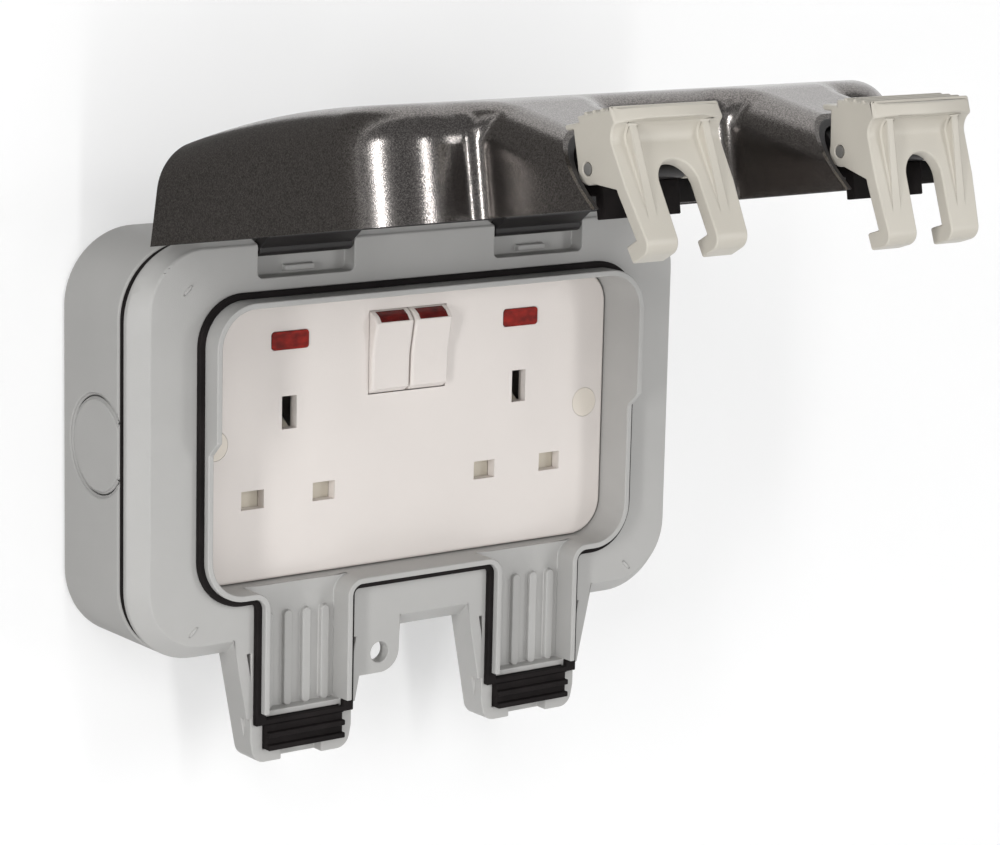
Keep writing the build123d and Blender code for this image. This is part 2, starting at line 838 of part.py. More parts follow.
def make_earth_bar():
    """Both earth clips on one strip with their terminal."""
    x, z = terminal_places()[1]
    half = bar_width / 2
    reach = neon_height - lamp_radius - fit - half
    bar = strip(-outlet_x, outlet_x, reach - half, reach + half)
    risers = [strip(side * outlet_x - half, side * outlet_x + half, earth_height, reach) for side in (-1, 1)]
    link = strip(x - half, x + half, reach, z)
    clips = [earth_clip(side * outlet_x) for side in (-1, 1)]
    whole = fused([bar, *risers, link, *clips, terminal(x, z)])
    return whole - rod(x, z, terminal_screw_radius + seat, base_floor, bar_front + terminal_length / 2)


def make_live_contact(side):
    """A live clip with the strip that leads to its switch."""
    x = side * outlet_x + pin_pitch / 2
    half = bar_width / 2
    height = line_height + clip_gap / 2 + brass_thick + bar_width
    switch_x = side * rocker_x
    riser = strip(x - half, x + half, line_height, height + half)
    run = strip(min(x, switch_x) - half, max(x, switch_x) + half, height - half, height + half)
    tail = strip(switch_x - half, switch_x + half, height, earth_height)
    return fused([line_clip(x), riser, run, tail])


def make_live_feed():
    """The live terminal with a strip that ends under both switches."""
    x, z = terminal_places()[2]
    half = bar_width / 2
    bar = strip(-rocker_x - half, x + half, z - half, z + half)
    whole = fused([bar, terminal(x, z)])
    return whole - rod(x, z, terminal_screw_radius + seat, base_floor, bar_front + terminal_length / 2)


def make_terminal_screws():
    """One screw for each terminal, reached through the back of the base."""
    screws = []
    for x, z in terminal_places():
        back = bar_front - brass_thick
        head = rod(x, z, terminal_screw_head_radius, back - terminal_screw_head, back)
        shank = rod(x, z, terminal_screw_radius, back, bar_front + terminal_length / 2 - fit)
        screws.append(fused([head, shank]))
    return Compound(screws)


def lid_outline(inset):
    """The lid's plan, run past the hinge end and rounded at the far end, with two cable chutes."""
    wide = lid_half - inset
    low = lid_bottom + inset
    shape = profile((-wide, low), (wide, low), (wide, lid_reach), (-wide, lid_reach))
    shape = fillet(shape.vertices().group_by(Axis.Y)[0], lid_corner - inset)
    half = chute_half - inset
    for side in (-1, 1):
        shape += Pos(side * outlet_x, chute_reach / 2) * Rectangle(2 * half, -chute_reach)
        for way in (-1, 1):
            shape += bend(side * outlet_x + way * half, low, way, chute_bend + inset)
    return shape


def chute_roof(z):
    """How far the outside of a chute's roof lies from the wall at a height."""
    fall = (lid_rise_full - chute_roof_rise) / (lid_bottom - chute_roof_end)
    return lid_rim + chute_roof_rise + fall * (z - chute_roof_end)


def lid_section(inset):
    """The lid's side profile: low at the hinge, full over the outlets, falling along the chutes."""
    far = 1.1 * chute_reach
    rim = lid_rim - inset
    full = (rim + lid_rise_full, lid_bottom)
    crown = ThreePointArc((rim + lid_rise_hinge, lid_reach), (rim + lid_rise_mid, 0), full)
    rest = Polyline(full, (chute_roof(far) - inset, far), (0, far), (0, lid_reach), crown @ 0)
    face = make_face([crown, *rest.edges()])
    brow = face.vertices().sort_by_distance(full)[0]
    return fillet(brow, chute_blend)


def lid_form(inset):
    """The solid lid, drawn in by an inset, with rounded outer edges and a sloping end at the hinge."""
    plan = layer(lid_outline(inset), lid_rim, lid_rim + 2 * lid_rise_mid)
    form = plan & across(lid_section(inset), -box_width, box_width)
    walls = [face for face in form.faces() if abs(face.normal_at().Y) < 0.05]
    outer_edges = []
    for edge in [e for wall in walls for e in wall.edges()]:
        middle = edge @ 0.5
        upright_edge = abs((edge % 0.5).Y) > 0.7
        inside = chute_reach + lid_edge < middle.Z < lid_reach - skin_wall
        if inside and -middle.Y > lid_rim + skin_wall and not upright_edge:
            outer_edges.append(edge)
    form = fillet(outer_edges, lid_edge - inset)
    slope = tan(radians(lid_end_angle))
    reach = 2 * lid_rise_mid
    top = lid_top - inset / cos(radians(lid_end_angle))
    beyond = profile((lid_rim - reach, top + slope * reach), (lid_rim + reach, top - slope * reach),
                     (lid_rim + reach, 3 * lid_top), (lid_rim - reach, 3 * lid_top))
    return form - across(beyond, -box_width, box_width)


def chute_cut():
    """What lies past the slanting open ends of the chutes."""
    far = 2 * chute_end
    slope = (chute_roof_end - chute_end) / chute_roof_rise
    back = lid_rim - chute_roof_rise
    front = lid_rim + 2 * chute_roof_rise
    past = profile((back, chute_end - slope * chute_roof_rise),
                   (front, chute_end + 2 * slope * chute_roof_rise),
                   (front, far), (back, far))
    return across(past, -box_width, box_width)


def opened(shape):
    """Swings a shape of the lid from closed to open."""
    return turned(shape, hinge_front, hinge_height, -lid_open_angle)


def make_lid_skin():
    """The metal cover of the lid, notched at the hinge arms."""
    skin = lid_form(0) - lid_form(skin_wall) - chute_cut()
    for side in (-1, 1):
        left, right = knuckle_ends(side)
        skin -= block(left - fit, right + fit, lid_top / 2, lid_reach, 0, lid_rim + hinge_arm_rise + fit)
    return opened(skin)


def knuckle_ends(side):
    """Where a hinge knuckle starts and ends along X."""
    return sorted((side * (pocket_inner + knuckle_side_gap), side * (pocket_outer - knuckle_side_gap)))


def hinge_arm(side):
    """A knuckle on its hinge pin with the arm that joins it to the lid."""
    ends = knuckle_ends(side)
    root = lid_top - hinge_arm_root
    front = lid_rim + hinge_arm_rise
    arm = profile((hinge_front, hinge_height - knuckle_radius), (lid_rim, root), (front, root),
                  (front, lid_top - liner_inside), (hinge_front + knuckle_radius, hinge_height))
    solid = across(arm, *ends) + cross_rod(*ends, hinge_front, hinge_height, knuckle_radius)
    return solid - cross_rod(*ends, hinge_front, hinge_height, hinge_pin_radius + running)


def latch_ear(side):
    """The lug in a chute's end that carries the latch pin."""
    x = side * outlet_x
    limits = (x - latch_ear_half, x + latch_ear_half)
    under = latch_pivot_front - latch_ear_radius
    neck = latch_pivot_front + latch_ear_radius
    root = chute_roof_end + latch_ear_root
    inside = (liner_face + liner_inside) / 2
    arm = profile((under, latch_pivot_height), (under, root), (chute_roof(root) - inside, root),
                  (chute_roof(chute_roof_end) - inside, chute_roof_end),
                  (neck, chute_roof_end - latch_ear_radius), (neck, latch_pivot_height))
    lug = across(arm, *limits) + cross_rod(*limits, latch_pivot_front, latch_pivot_height, latch_ear_radius)
    return lug - cross_rod(*limits, latch_pivot_front, latch_pivot_height, latch_pin_radius)


def make_lid_cable_pads():
    """Rubber pads that close on the cables from above, with a lip past the foot of each leg."""
    front = latch_pivot_front - latch_ear_radius
    back = frame_front + cable_block_rise + cable_rib_rise + fit
    top = channel_end - cable_pad_end
    lip_top = leg_end - fit - cable_pad_end / 4
    lip_low = lip_top - cable_lip_thick

    def pad(side):
        limits = (side * outlet_x - latch_ear_half, side * outlet_x + latch_ear_half)
        body = block(*limits, lip_low, top, back, front)
        return fused([body, block(*limits, lip_low, lip_top, lid_rim - cable_lip_drop, front)])
    return opened(Compound(both_sides(pad)))


def make_lid_liner():
    """The black moulding inside the lid, with the hinge knuckles and the lugs for the latches."""
    liner = lid_form(liner_face) - lid_form(liner_inside) - chute_cut()
    for side in (-1, 1):
        liner += hinge_arm(side)
        liner += latch_ear(side)
    return opened(liner)


def make_latch_pins():
    """The steel pins that the latches hang on."""
    def pin(side):
        x = side * outlet_x
        reach = latch_half - seat
        return cross_rod(x - reach, x + reach, latch_pivot_front, latch_pivot_height, latch_pin_radius)
    return opened(Compound(both_sides(pin)))


def thumb_line(height):
    """How far in front of the pivot the outside of a thumb plate lies, at a height from the pivot."""
    return latch_thumb_front + (height + latch_drop) * tan(radians(latch_thumb_angle))


def latch_section():
    """A latch's side profile about its pivot: thumb plate, shelf, level web and upturned hook."""
    hooked = radians(latch_hooked_angle)
    tip = latch_hook_rise - latch_drop
    catch = latch_pivot_front - leg_back + fit
    inner = -(catch + tip * sin(hooked)) / cos(hooked)
    outer = inner - latch_hook_thick
    floor = latch_web_thick - latch_drop
    thick = latch_thumb_thick / cos(radians(latch_thumb_angle))
    top = latch_thumb_top
    step = top - latch_tab_height
    edge = -latch_drop - latch_shelf_drop
    bent = profile((thumb_line(top) - latch_tab_step, top), (thumb_line(step) - latch_tab_step, step),
                   (thumb_line(step), step), (thumb_line(edge), edge), (thumb_line(edge) - thick, edge),
                   (thumb_line(-latch_drop) - thick, -latch_drop), (outer, -latch_drop), (outer, tip),
                   (inner, tip), (inner, floor), (thumb_line(floor) - thick, floor),
                   (thumb_line(top) - thick, top))
    bent = fillet(bent.vertices().group_by(Axis.X)[0].sort_by(Axis.Y)[0], latch_hook_round)
    under = bent.vertices().sort_by_distance((thumb_line(-latch_drop) - thick, -latch_drop))[0]
    return fillet(under, latch_shelf_round)


def latch_cheek():
    """The gusset that carries a latch on its pin and stiffens the thumb plate."""
    lug = latch_lug_radius
    floor = latch_web_thick / 2 - latch_drop
    shade = latch_thumb_thick / 2
    top = latch_thumb_top - latch_tab_height / 2
    gusset = profile((-lug, 0), (-latch_cheek_foot, floor), (thumb_line(floor) - shade, floor),
                     (thumb_line(top) - shade - latch_tab_step, top), (0, lug))
    return Circle(lug) + gusset


def latch_rib():
    """A rib that runs from under the shelf along an arm and fades into it."""
    edge = -latch_drop - latch_shelf_drop
    root = latch_web_thick / 2 - latch_drop
    lip = thumb_line(edge) - latch_thumb_thick / 2
    return profile((lip, edge + latch_shelf_bulge), (-latch_rib_end, -latch_drop),
                   (-latch_rib_end, root), (lip, root))


def shelf_outline(x):
    """A latch seen from the front: the shelf of its thumb plate bulges in the middle."""
    low = latch_pivot_height - latch_drop - latch_shelf_drop
    high = latch_pivot_height + 2 * latch_drop
    half = latch_half
    arc = ThreePointArc((x - half, low + latch_shelf_bulge), (x, low), (x + half, low + latch_shelf_bulge))
    sides = Polyline(arc @ 1, (x + half, high), (x - half, high), arc @ 0)
    return make_face([arc, *sides.edges()])


def arm_taper(x, way):
    """What is cut from the outer side of an arm, so that the arms draw together towards their hooks."""
    start = latch_pivot_front - latch_cheek_foot
    end = leg_back - 2 * latch_hook_thick
    outside = x + way * latch_half
    wedge = profile((outside, -start), (outside, -end), (outside - way * latch_arm_taper, -end))
    return upright(wedge, latch_pivot_height - 2 * latch_drop, latch_pivot_height + latch_drop)


def latch_arch(x):
    """The opening between a latch's two hooked arms."""
    half = (latch_arm_pitch - latch_arm_width) / 2
    crown = latch_pivot_front - latch_arch_start - half
    gap = Pos(x, -crown) * Circle(half) + Pos(x, -crown / 2) * Rectangle(2 * half, crown)
    return upright(gap, latch_pivot_height - 2 * latch_drop, latch_pivot_height)


def make_latch(side, hang):
    """A latch with two hooked arms, cheeks on its pin and a ribbed thumb plate, swung to how it hangs."""
    place = Pos(latch_pivot_front, latch_pivot_height)
    x = side * outlet_x
    limits = (x - latch_half, x + latch_half)
    latch = across(place * latch_section(), *limits)
    for way in (-1, 1):
        edges = sorted((x + way * latch_half, x + way * (latch_ear_half + fit)))
        latch += across(place * latch_cheek(), *edges)
        rib_x = x + way * latch_arm_pitch / 2
        latch += across(place * latch_rib(), rib_x - latch_rib_width / 2, rib_x + latch_rib_width / 2)
    middle = latch_thumb_top - (latch_tab_height + latch_thumb_top + latch_drop + latch_shelf_drop) / 2
    for k in range(latch_grip_count):
        height = middle + (k - (latch_grip_count - 1) / 2) * latch_grip_pitch
        front = latch_pivot_front + thumb_line(height)
        latch += cross_rod(*limits, front, latch_pivot_height + height, latch_grip_radius)
    latch &= layer(shelf_outline(x), 0, 2 * latch_pivot_front)
    latch -= latch_arch(x)
    for way in (-1, 1):
        latch -= arm_taper(x, way)
    latch -= cross_rod(*limits, latch_pivot_front, latch_pivot_height, latch_pin_radius + running)
    return opened(turned(latch, latch_pivot_front, latch_pivot_height, hang))


def make_parts():
    """Every piece by its name."""
    parts = {
        "mounting_box": make_mounting_box(),
        "box_seal": make_box_seal(),
        "front_frame": make_front_frame(),
        "hinge_pins": make_hinge_pins(),
        "lid_seal": make_lid_seal(),
        "socket_plate": make_socket_plate(),
        "socket_base": make_socket_base(),
        "plate_screws": make_plate_screws(),
        "rocker_pin": make_rocker_pin(),
        "neutral_bar": make_neutral_bar(),
        "earth_bar": make_earth_bar(),
        "live_feed": make_live_feed(),
        "terminal_screws": make_terminal_screws(),
        "lid_skin": make_lid_skin(),
        "lid_liner": make_lid_liner(),
        "latch_pins": make_latch_pins(),
        "lid_cable_pads": make_lid_cable_pads(),
        "latch_left": make_latch(-1, latch_left_angle),
        "latch_right": make_latch(1, latch_right_angle),
    }
    for name, side in (("left", -1), ("right", 1)):
        parts["screw_cap_" + name] = make_screw_cap(side)
        parts["neon_lens_" + name] = make_neon_lens(side)
        parts["neon_lamp_" + name] = make_neon_lamp(side)
        parts["rocker_" + name] = make_rocker(side)
        parts["rocker_flash_" + name] = make_rocker_flash(side)
        parts["shutter_" + name] = make_shutter(side)
        parts["shutter_spring_" + name] = make_shutter_spring(side)
        parts["live_contact_" + name] = make_live_contact(side)
    return parts


os.makedirs("parts", exist_ok=True)
for node, shape in make_parts().items():
    export_step(shape, "parts/" + node + ".step")
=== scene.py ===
"""Looks of a weatherproof twin outlet with its lid open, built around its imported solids."""

import json
import logging
import math
from dataclasses import dataclass
from enum import Enum

import bmesh
import bpy
import numpy as np
from mathutils import Matrix, Vector

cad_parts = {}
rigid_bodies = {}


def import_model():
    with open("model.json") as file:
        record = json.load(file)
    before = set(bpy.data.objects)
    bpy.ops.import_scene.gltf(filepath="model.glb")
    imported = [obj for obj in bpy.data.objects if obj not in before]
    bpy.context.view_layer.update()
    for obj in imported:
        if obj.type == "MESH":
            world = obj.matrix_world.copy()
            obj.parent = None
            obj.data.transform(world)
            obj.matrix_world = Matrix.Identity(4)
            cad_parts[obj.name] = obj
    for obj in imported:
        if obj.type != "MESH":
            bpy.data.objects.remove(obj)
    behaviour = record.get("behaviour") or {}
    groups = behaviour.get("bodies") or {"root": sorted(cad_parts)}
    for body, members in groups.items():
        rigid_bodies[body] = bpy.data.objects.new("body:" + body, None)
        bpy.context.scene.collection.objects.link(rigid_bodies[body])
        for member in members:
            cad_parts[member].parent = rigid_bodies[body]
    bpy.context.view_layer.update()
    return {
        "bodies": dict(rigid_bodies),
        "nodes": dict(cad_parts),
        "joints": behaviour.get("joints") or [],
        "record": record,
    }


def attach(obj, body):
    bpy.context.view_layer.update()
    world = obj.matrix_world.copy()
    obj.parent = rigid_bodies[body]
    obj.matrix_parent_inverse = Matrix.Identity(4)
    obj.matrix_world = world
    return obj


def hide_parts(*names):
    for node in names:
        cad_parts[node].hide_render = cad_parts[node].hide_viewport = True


MM = 0.001
log = logging.getLogger("weatherproof_outlet")

Colour = tuple[float, float, float]
Point = tuple[float, float, float]


class Side(Enum):
    """The two outlets, seen from the front."""

    LEFT = "left"
    RIGHT = "right"

    def of(self, piece: str) -> str:
        """The node name of a piece on this side."""
        return f"{piece}_{self.value}"


def rgba(colour: Colour) -> tuple[float, float, float, float]:
    """A colour with full cover."""
    return (*colour, 1.0)


def scaled(colour: Colour, factor: float) -> Colour:
    """A colour made darker or lighter by a factor."""
    return tuple(min(1.0, c * factor) for c in colour)


class NodeTree:
    """A material under construction, with short ways to add and join nodes."""

    def __init__(self, name: str) -> None:
        """Starts an empty material with its output and coordinates.

        Args:
            name: the material's name.
        """
        self.material = bpy.data.materials.new(name)
        self.material.use_nodes = True
        self.tree = self.material.node_tree
        self.tree.nodes.clear()
        self.output = self.add("ShaderNodeOutputMaterial")
        self.coords = self.add("ShaderNodeTexCoord")

    def add(self, kind: str, **inputs: object) -> bpy.types.Node:
        """A new node with some of its sockets set.

        Args:
            kind: Blender's name of the node type.
            inputs: socket values by socket name, with underscores for spaces.

        Returns:
            The node.
        """
        node = self.tree.nodes.new(kind)
        for name, value in inputs.items():
            node.inputs[name.replace("_", " ")].default_value = value
        return node

    def join(self, source: bpy.types.Node, out: str | int, target: bpy.types.Node, into: str | int) -> None:
        """A link between two sockets, by name or number."""
        self.tree.links.new(source.outputs[out], target.inputs[into])

    def surface(self, shader: bpy.types.Node, out: str = "BSDF") -> None:
        """Makes a shader the material's surface."""
        self.join(shader, out, self.output, "Surface")

    def math(self, operation: str) -> bpy.types.Node:
        """A node that works one number out of two."""
        node = self.add("ShaderNodeMath")
        node.operation = operation
        return node

    def noise(self, scale: float, detail: float = 3.0, stretch: Point = (1.0, 1.0, 1.0)) -> bpy.types.Node:
        """Noise on Object coordinates.

        Args:
            scale: features per metre.
            detail: octaves.
            stretch: factor along each axis, to draw the noise out into streaks.

        Returns:
            The noise node.
        """
        mapping = self.add("ShaderNodeMapping", Scale=stretch)
        self.join(self.coords, "Object", mapping, "Vector")
        noise = self.add("ShaderNodeTexNoise", Scale=scale, Detail=detail)
        self.join(mapping, "Vector", noise, "Vector")
        return noise

    def tones(self, noise: bpy.types.Node, dark: Colour, light: Colour, low: float, high: float) -> bpy.types.Node:
        """A ramp from a dark to a light tone over a span of noise.

        Args:
            noise: the node that drives it.
            dark: colour at the span's start.
            light: colour at the span's end.
            low: where the span starts.
            high: where the span ends.

        Returns:
            The ramp node.
        """
        ramp = self.add("ShaderNodeValToRGB")
        start, end = ramp.color_ramp.elements
        start.position, start.color = low, rgba(dark)
        end.position, end.color = high, rgba(light)
        self.join(noise, "Fac", ramp, "Fac")
        return ramp

    def grain(self, shader: bpy.types.Node, scale: float, height: float) -> None:
        """Fine unevenness of the surface.

        Args:
            shader: the node that takes the normal.
            scale: features per metre.
            height: depth of the grain in metres.
        """
        bump = self.add("ShaderNodeBump", Strength=1.0, Distance=height)
        self.join(self.noise(scale), "Fac", bump, "Height")
        self.join(bump, "Normal", shader, "Normal")


@dataclass(frozen=True)
class Finish:
    """What a piece is made of: a name, the record's slot and a base colour."""

    name: str
    slot: str
    colour: Colour

    def build(self) -> bpy.types.Material:
        """Builds the material. Each kind of finish has its own."""
        raise NotImplementedError

    def material(self) -> bpy.types.Material:
        """The material, built on first use."""
        return bpy.data.materials.get(self.name) or self.build()

    def dress(self, obj: bpy.types.Object) -> None:
        """Gives a piece this finish alone.

        Args:
            obj: the piece.
        """
        obj.data.materials.clear()
        obj.data.materials.append(self.material())


@dataclass(frozen=True)
class MouldedPlastic(Finish):
    """A moulded plastic with a fine spark-eroded grain and faint flow marks."""

    roughness: float = 0.45
    mottle: float = 0.035
    drift_scale: float = 38.0
    grain_scale: float = 2600.0
    grain_height: float = 0.00003

    def build(self) -> bpy.types.Material:
        """Two near tones drift over the piece, and a fine grain breaks its gloss."""
        tree = NodeTree(self.name)
        shader = tree.add("ShaderNodeBsdfPrincipled", Roughness=self.roughness)
        dark, light = scaled(self.colour, 1 - self.mottle), scaled(self.colour, 1 + self.mottle)
        ramp = tree.tones(tree.noise(self.drift_scale, 4.0), dark, light, 0.3, 0.7)
        tree.join(ramp, "Color", shader, "Base Color")
        tree.grain(shader, self.grain_scale, self.grain_height)
        tree.surface(shader)
        return tree.material


@dataclass(frozen=True)
class SatinMetal(Finish):
    """A dark satin metal sheet with a bright speckle."""

    roughness: float = 0.21
    smoother: float = 0.05
    rougher: float = 0.07
    patch_scale: float = 55.0
    speckle: float = 0.42
    speckle_scale: float = 2900.0
    grain_height: float = 0.00002

    def build(self) -> bpy.types.Material:
        """A metal whose tone flickers from grain to grain and whose gloss drifts in patches."""
        tree = NodeTree(self.name)
        shader = tree.add("ShaderNodeBsdfPrincipled", Metallic=1.0)
        dark, light = scaled(self.colour, 1 - self.speckle), scaled(self.colour, 1 + self.speckle)
        ramp = tree.tones(tree.noise(self.speckle_scale, 2.0), dark, light, 0.35, 0.65)
        tree.join(ramp, "Color", shader, "Base Color")
        low, high = self.roughness - self.smoother, self.roughness + self.rougher
        gloss = tree.add("ShaderNodeMapRange", To_Min=low, To_Max=high)
        tree.join(tree.noise(self.patch_scale), "Fac", gloss, "Value")
        tree.join(gloss, "Result", shader, "Roughness")
        tree.grain(shader, self.speckle_scale, self.grain_height)
        tree.surface(shader)
        return tree.material


@dataclass(frozen=True)
class DrawnMetal(Finish):
    """Plated wire, screws and contacts, with faint streaks from drawing."""

    roughness: float = 0.3
    streak_scale: float = 900.0
    stretch: Point = (1.0, 1.0, 1.0)

    def build(self) -> bpy.types.Material:
        """A metal with streaks along the way it was drawn."""
        tree = NodeTree(self.name)
        shader = tree.add("ShaderNodeBsdfPrincipled", Metallic=1.0, Roughness=self.roughness)
        streaks = tree.noise(self.streak_scale, 3.0, self.stretch)
        ramp = tree.tones(streaks, scaled(self.colour, 0.8), scaled(self.colour, 1.1), 0.3, 0.7)
        tree.join(ramp, "Color", shader, "Base Color")
        tree.surface(shader)
        return tree.material


@dataclass(frozen=True)
class SoftRubber(Finish):
    """A matt rubber with a dusty bloom."""

    roughness: float = 0.7
    sheen_level: float = 0.15
    dust_scale: float = 140.0
    grain_scale: float = 1800.0
    grain_height: float = 0.00004

    def build(self) -> bpy.types.Material:
        """A near black whose dust drifts over the piece."""
        tree = NodeTree(self.name)
        shader = tree.add(
            "ShaderNodeBsdfPrincipled", Roughness=self.roughness, Specular_IOR_Level=self.sheen_level
        )
        dust = tree.noise(self.dust_scale, 5.0)
        ramp = tree.tones(dust, scaled(self.colour, 0.8), scaled(self.colour, 1.5), 0.35, 0.75)
        tree.join(ramp, "Color", shader, "Base Color")
        tree.grain(shader, self.grain_scale, self.grain_height)
        tree.surface(shader)
        return tree.material


@dataclass(frozen=True)
class TintedLens(Finish):
    """A clear coloured plastic with an uneven back."""

    clear: float = 0.35
    roughness: float = 0.18
    sheen_level: float = 0.2
    swirl_scale: float = 330.0
    swirl_stretch: Point = (1.0, 1.0, 1.6)

    def build(self) -> bpy.types.Material:
        """Part of the light goes through, and soft swirls show what lies behind."""
        tree = NodeTree(self.name)
        shader = tree.add(
            "ShaderNodeBsdfPrincipled",
            Roughness=self.roughness,
            Transmission_Weight=self.clear,
            Specular_IOR_Level=self.sheen_level,
        )
        swirl = tree.noise(self.swirl_scale, 2.0, self.swirl_stretch)
        ramp = tree.tones(swirl, scaled(self.colour, 0.55), scaled(self.colour, 1.25), 0.35, 0.68)
        tree.join(ramp, "Color", shader, "Base Color")
        tree.surface(shader)
        return tree.material


BOX_GREY = MouldedPlastic("box grey", "box_grey", (0.43, 0.425, 0.413), roughness=0.5)
PLATE_WHITE = MouldedPlastic("plate white", "plate_white", (0.745, 0.695, 0.66), roughness=0.38, mottle=0.015)
CAP_IVORY = MouldedPlastic("cap ivory", "cap_ivory", (0.75, 0.69, 0.61), roughness=0.4, mottle=0.02)
LATCH_GREY = MouldedPlastic("latch grey", "latch_grey", (0.52, 0.49, 0.43), roughness=0.42)
BASE_WHITE = MouldedPlastic("base white", "base_white", (0.7, 0.69, 0.66), roughness=0.5)
SHUTTER_IVORY = MouldedPlastic("shutter ivory", "shutter_ivory", (0.62, 0.57, 0.48), roughness=0.45)
LINER_BLACK = MouldedPlastic("liner black", "liner_black", (0.02, 0.018, 0.018), roughness=0.35, mottle=0.2)
SEAL_RUBBER = SoftRubber("seal rubber", "seal_rubber", (0.010, 0.008, 0.008))
LID_METAL = SatinMetal("lid metal", "lid_metal", (0.22, 0.206, 0.197))
STEEL = DrawnMetal("steel", "steel", (0.56, 0.53, 0.50), stretch=(0.05, 1.0, 1.0))
BRASS = DrawnMetal("brass", "brass", (0.72, 0.50, 0.22), stretch=(0.1, 1.0, 1.0))
NEON_RED = TintedLens("neon red", "neon_red", (0.31, 0.013, 0.007), clear=0.2)
FLASH_RED = TintedLens("flash red", "flash_red", (0.13, 0.009, 0.008), clear=0.1, roughness=0.25)
LAMP_GLASS = TintedLens("lamp glass", "lamp_glass", (0.9, 0.75, 0.62), clear=0.85, roughness=0.05)


@dataclass(frozen=True)
class CornerTicks:
    """Small raised ticks on the frame's face, near its corners: place across, place up and tilt in degrees."""

    places: tuple[Point, ...] = (
        (-73.1, 42.6, 45.0),
        (73.1, 42.6, -45.0),
        (71.0, -46.3, -45.0),
        (-71.0, -46.3, 45.0),
    )
    face: float = -37.0
    length: float = 3.4
    width: float = 1.0
    height: float = 0.35
    rows: int = 9
    columns: int = 16
    reach: float = 0.49

    def faces(self) -> list[list[int]]:
        """The faces of one tick: quads between neighbouring rows and a cap on each end.

        Returns:
            Vertex numbers of each face.
        """
        row, column = np.meshgrid(np.arange(self.rows - 1), np.arange(self.columns), indexing="ij")
        here, after = row * self.columns, (column + 1) % self.columns
        above = here + self.columns
        quads = np.stack([here + column, here + after, above + after, above + column], -1).reshape(-1, 4)
        last = np.arange(self.columns) + (self.rows - 1) * self.columns
        return [*quads.tolist(), np.arange(self.columns)[::-1].tolist(), last.tolist()]

    def build(self, work: bmesh.types.BMesh) -> None:
        """Adds one long ellipsoid per place, half sunk into the face.

        A point is the place, plus half the length along the tilt times the sine of the latitude, plus, times the
        cosine of the latitude, half the width across the tilt and the height outwards round the longitude.

        Args:
            work: the frame's mesh under construction.
        """
        latitude, longitude = np.meshgrid(
            np.linspace(-self.reach, self.reach, self.rows) * math.pi,
            np.arange(self.columns) * 2 * math.pi / self.columns,
            indexing="ij",
        )
        along = self.length / 2 * np.sin(latitude)
        across = self.width / 2 * np.cos(latitude) * np.cos(longitude)
        out = self.height * np.cos(latitude) * np.sin(longitude)
        for x, z, tilt in self.places:
            c, s = math.cos(math.radians(tilt)), math.sin(math.radians(tilt))
            points = np.stack([x + c * along - s * across, self.face - out, z + s * along + c * across], -1)
            tick = bpy.data.meshes.new("tick")
            tick.from_pydata((points.reshape(-1, 3) * MM).tolist(), [], self.faces())
            before = len(work.faces)
            work.from_mesh(tick)
            work.faces.ensure_lookup_table()
            bmesh.ops.recalc_face_normals(work, faces=work.faces[before:])
            bpy.data.meshes.remove(tick)


@dataclass(frozen=True)
class Piece:
    """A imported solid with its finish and, where its mould rounds its edges, their size in mm and its ticks."""

    node: str
    finish: Finish
    edge: float = 0.0
    ticks: CornerTicks | None = None
    segments: int = 2
    sharp_angle: float = 32.0
    flat_angle: float = 0.6
    merge: float = 0.002

    def moulded_mesh(self, source: bpy.types.Object) -> bpy.types.Mesh:
        """Copies the solid's mesh, joins its triangles into flats and adds the ticks.

        Args:
            source: the solid's own object.

        Returns:
            The new mesh, shaded smooth.
        """
        mesh = source.data.copy()
        mesh.name = f"{self.node}_moulded"
        work = bmesh.new()
        work.from_mesh(mesh)
        bmesh.ops.remove_doubles(work, verts=work.verts, dist=self.merge * MM)
        limit = math.radians(self.flat_angle)
        bmesh.ops.dissolve_limit(work, angle_limit=limit, verts=work.verts, edges=work.edges)
        if self.ticks:
            self.ticks.build(work)
        work.to_mesh(mesh)
        work.free()
        mesh.polygons.foreach_set("use_smooth", np.ones(len(mesh.polygons), dtype=bool))
        return mesh

    def round_edges(self, source: bpy.types.Object, body: str) -> None:
        """Puts a stand-in with every sharp edge rounded in the solid's place.

        Args:
            source: the solid's own object.
            body: the body that the solid rides on.
        """
        mesh = self.moulded_mesh(source)
        piece = bpy.data.objects.new(mesh.name, mesh)
        bpy.context.collection.objects.link(piece)
        bevel = piece.modifiers.new("rounded edges", "BEVEL")
        bevel.width = self.edge * MM
        bevel.segments = self.segments
        bevel.limit_method = "ANGLE"
        bevel.angle_limit = math.radians(self.sharp_angle)
        bevel.use_clamp_overlap = False
        bevel.harden_normals = False
        weighted = piece.modifiers.new("flat shading", "WEIGHTED_NORMAL")
        weighted.keep_sharp = True
        self.finish.dress(piece)
        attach(piece, body)
        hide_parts(self.node)


@dataclass
class SubAssembly:
    """Some pieces that belong together."""

    def pieces(self) -> list[Piece]:
        """The pieces. Each sub-assembly has its own."""
        raise NotImplementedError

    def build(self, frame: dict) -> None:
        """Dresses every piece and rounds the edges of those whose mould does.
        """
        bodies = frame["record"]["behaviour"]["bodies"]
        for piece in self.pieces():
            source = frame["nodes"][piece.node]
            piece.finish.dress(source)
            if piece.edge:
                body = next(name for name, nodes in bodies.items() if piece.node in nodes)
                piece.round_edges(source, body)
            log.info("%s: %s in %s", type(self).__name__, piece.node, piece.finish.name)


